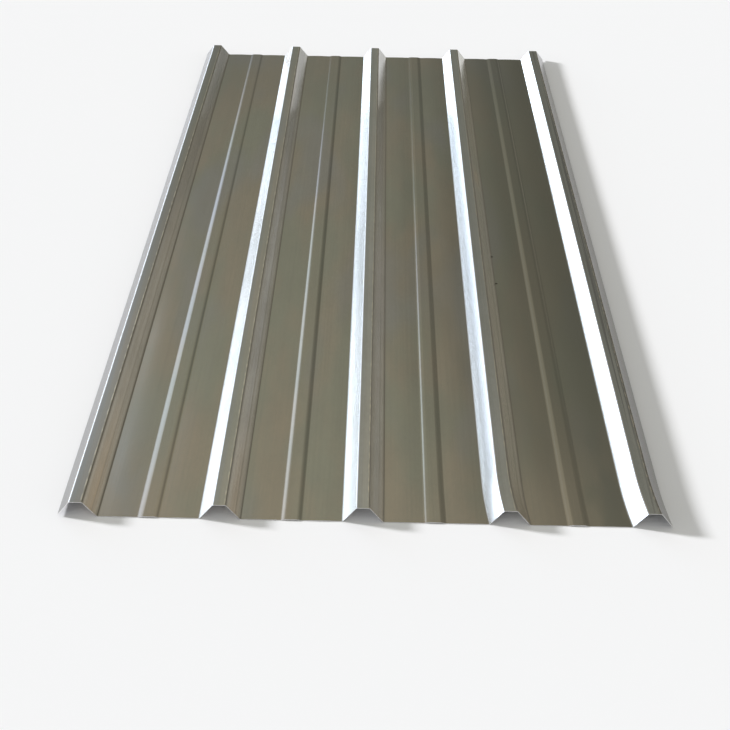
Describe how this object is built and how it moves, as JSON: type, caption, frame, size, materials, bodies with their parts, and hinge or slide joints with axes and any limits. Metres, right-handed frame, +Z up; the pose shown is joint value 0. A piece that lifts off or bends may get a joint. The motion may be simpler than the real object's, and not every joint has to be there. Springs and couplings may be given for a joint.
{
  "type": "corrugated metal sheet",
  "caption": "Roll-formed galvanised steel roofing sheet with trapezoidal ribs and shallow stiffening swages along its flat pans, for covering roofs and walls.",
  "frame": {"origin": "middle of the sheet's underside, on the level surface that its pans lie on", "axes": "+X across the ribs, +Y along the ribs, +Z up, with the ribs standing up"},
  "size_m": [0.8954, 2, 0.0255],
  "materials": {
    "galvanised_steel": "bright zinc coating with faint spangle and fine rolling streaks along the ribs"
  },
  "bodies": {
    "root": {"corrugated_sheet": "galvanised_steel"}
  },
  "joints": []
}
